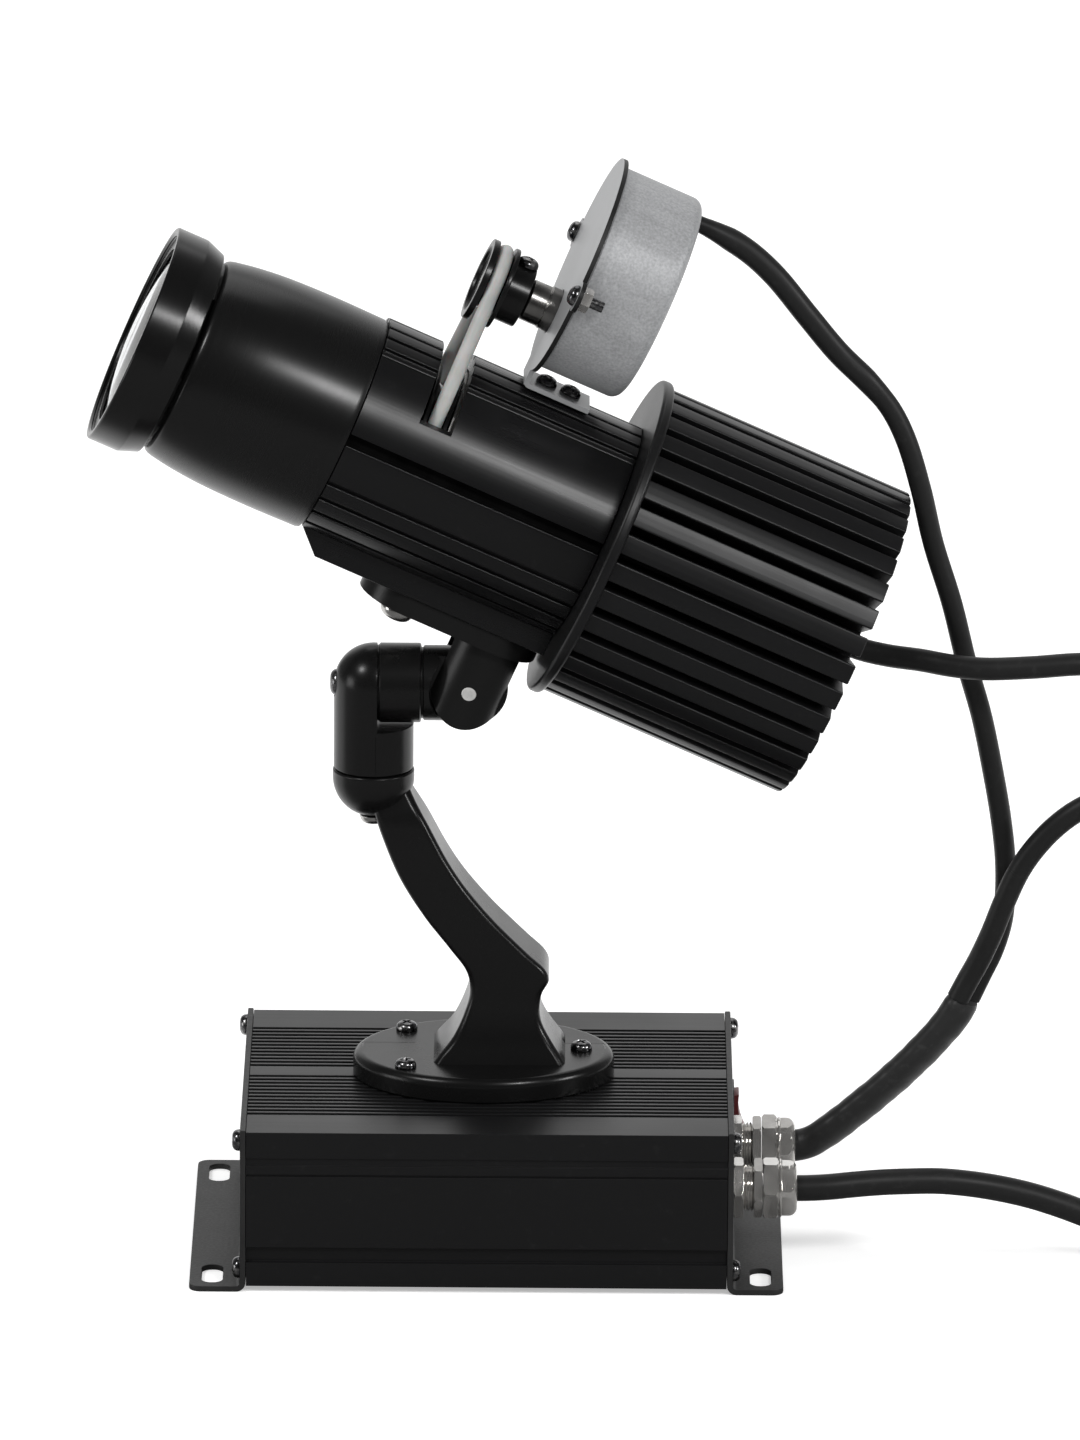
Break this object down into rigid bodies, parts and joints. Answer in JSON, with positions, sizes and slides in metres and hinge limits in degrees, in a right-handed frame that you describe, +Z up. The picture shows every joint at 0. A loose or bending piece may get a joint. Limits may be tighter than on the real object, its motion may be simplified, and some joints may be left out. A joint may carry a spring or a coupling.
{
  "type": "gobo projector",
  "caption": "Advertising gobo projector: finned lamp head with a motor-turned gobo and focusing lens on a pan, roll and tilt knuckle, a cast arm and a driver box with feet.",
  "frame": {"origin": "middle of the driver box, on the surface that its feet stand on", "axes": "+Z up, the lens points towards -X and 24 degrees up, the cable glands are on the +X end, +Y completes the right-handed frame"},
  "size_m": [0.4325, 0.1241, 0.2862],
  "materials": {
    "black_anodised": "satin",
    "black_casting": "satin",
    "black_plate": "satin",
    "zinc_steel": "satin",
    "bright_steel": "polished",
    "dark_steel": "satin",
    "plated_bracket": "satin",
    "nickel": "polished",
    "transformer_core": "matte",
    "belt_rubber": "satin",
    "black_rubber": "satin",
    "black_plastic": "matte",
    "red_plastic": "gloss",
    "board": "satin",
    "led_board": "satin",
    "emitter": "gloss",
    "lens_glass": "gloss",
    "gobo_glass": "gloss"
  },
  "bodies": {
    "base": {"base_extrusion": "black_anodised", "end_plate_left": "black_plate", "end_plate_right": "black_plate", "driver_board": "board", "driver_transformer": "transformer_core", "support_arm": "black_casting", "arm_screw_1": "dark_steel", "arm_screw_2": "dark_steel", "arm_screw_3": "dark_steel", "mains_gland_body": "nickel", "mains_gland_nut": "nickel", "mains_gland_cap": "nickel", "lead_gland_body": "nickel", "lead_gland_nut": "nickel", "lead_gland_cap": "nickel", "switch_body": "black_plastic", "motor_lead": "black_rubber", "led_lead": "black_rubber", "lead_sleeve": "black_rubber", "mains_cord_run": "black_rubber", "mains_cord_coil": "black_rubber", "mains_cord_end": "black_rubber", "mains_plug": "black_plastic"},
    "pan_link": {"swivel_elbow": "black_casting", "pan_screw": "bright_steel"},
    "roll_link": {"swivel_lug": "black_casting", "roll_screw": "dark_steel"},
    "head": {"fork_bracket": "black_casting", "fork_screw_1": "bright_steel", "fork_screw_2": "bright_steel", "tilt_pin": "bright_steel", "barrel": "black_anodised", "heat_sink": "black_anodised", "led_board": "led_board", "led_emitter": "emitter", "condenser_holder": "black_anodised", "condenser_lens_front": "lens_glass", "condenser_lens_rear": "lens_glass", "gobo_bush": "bright_steel", "drive_belt": "belt_rubber", "motor_bracket": "plated_bracket", "motor_can": "zinc_steel", "gearbox_boss": "bright_steel", "motor_foot_screw_1": "dark_steel", "motor_foot_screw_2": "dark_steel", "motor_ear_bolt_1": "bright_steel", "motor_ear_bolt_2": "bright_steel", "lens_tube": "black_anodised"},
    "gobo_carrier": {"gobo_ring": "black_anodised", "gobo_disc": "gobo_glass", "gobo_retainer": "bright_steel"},
    "motor_drive": {"motor_shaft": "bright_steel", "drive_pulley": "black_plastic", "pulley_set_screw": "dark_steel"},
    "lens_group": {"lens_cell": "black_anodised", "objective_lens": "lens_glass", "lens_retainer": "black_anodised", "rear_lens": "lens_glass"},
    "hood": {"hood_ring": "black_anodised"},
    "rocker": {"switch_rocker": "red_plastic"}
  },
  "joints": [
    {"name": "pan", "type": "hinge", "parent": "base", "child": "pan_link", "pos_m": [-0.0299, 0, 0.1255], "axis": [0, 0, 1], "range_deg": [-90, 90], "deforming": ["motor_lead", "led_lead", "lead_sleeve"]},
    {"name": "roll", "type": "hinge", "parent": "pan_link", "child": "roll_link", "pos_m": [-0.0299, 0, 0.148], "axis": [1, 0, 0], "range_deg": [-90, 90], "deforming": ["motor_lead", "led_lead", "lead_sleeve"]},
    {"name": "tilt", "type": "hinge", "parent": "roll_link", "child": "head", "pos_m": [-0.0055, 0, 0.148], "axis": [0, 1, 0], "range_deg": [-15, 55], "deforming": ["motor_lead", "led_lead", "lead_sleeve"]},
    {"name": "gobo_spin", "type": "hinge", "parent": "head", "child": "gobo_carrier", "pos_m": [-0.0204, 0, 0.20882], "axis": [0.9135, 0, -0.4067], "continuous": true},
    {"name": "motor_spin", "type": "hinge", "parent": "head", "child": "motor_drive", "pos_m": [-0.00027, 0, 0.25404], "axis": [0.9135, 0, -0.4067], "continuous": true},
    {"name": "focus", "type": "slide", "parent": "head", "child": "lens_group", "axis": [-0.9135, 0, 0.4067], "range_m": [0, 0.0055]},
    {"name": "hood_turn", "type": "hinge", "parent": "lens_group", "child": "hood", "pos_m": [-0.08366, 0, 0.23699], "axis": [-0.9135, 0, 0.4067], "range_deg": [0, 330]},
    {"name": "rocker_press", "type": "hinge", "parent": "base", "child": "rocker", "pos_m": [0.063, 0.031, 0.0222], "axis": [0, 1, 0], "range_deg": [0, 20]}
  ],
  "couplings": [
    {"joint": "motor_spin", "follows": "gobo_spin", "ratio": 2.4545},
    {"joint": "hood_turn", "follows": "focus", "rad_per_m": 1047.2}
  ]
}
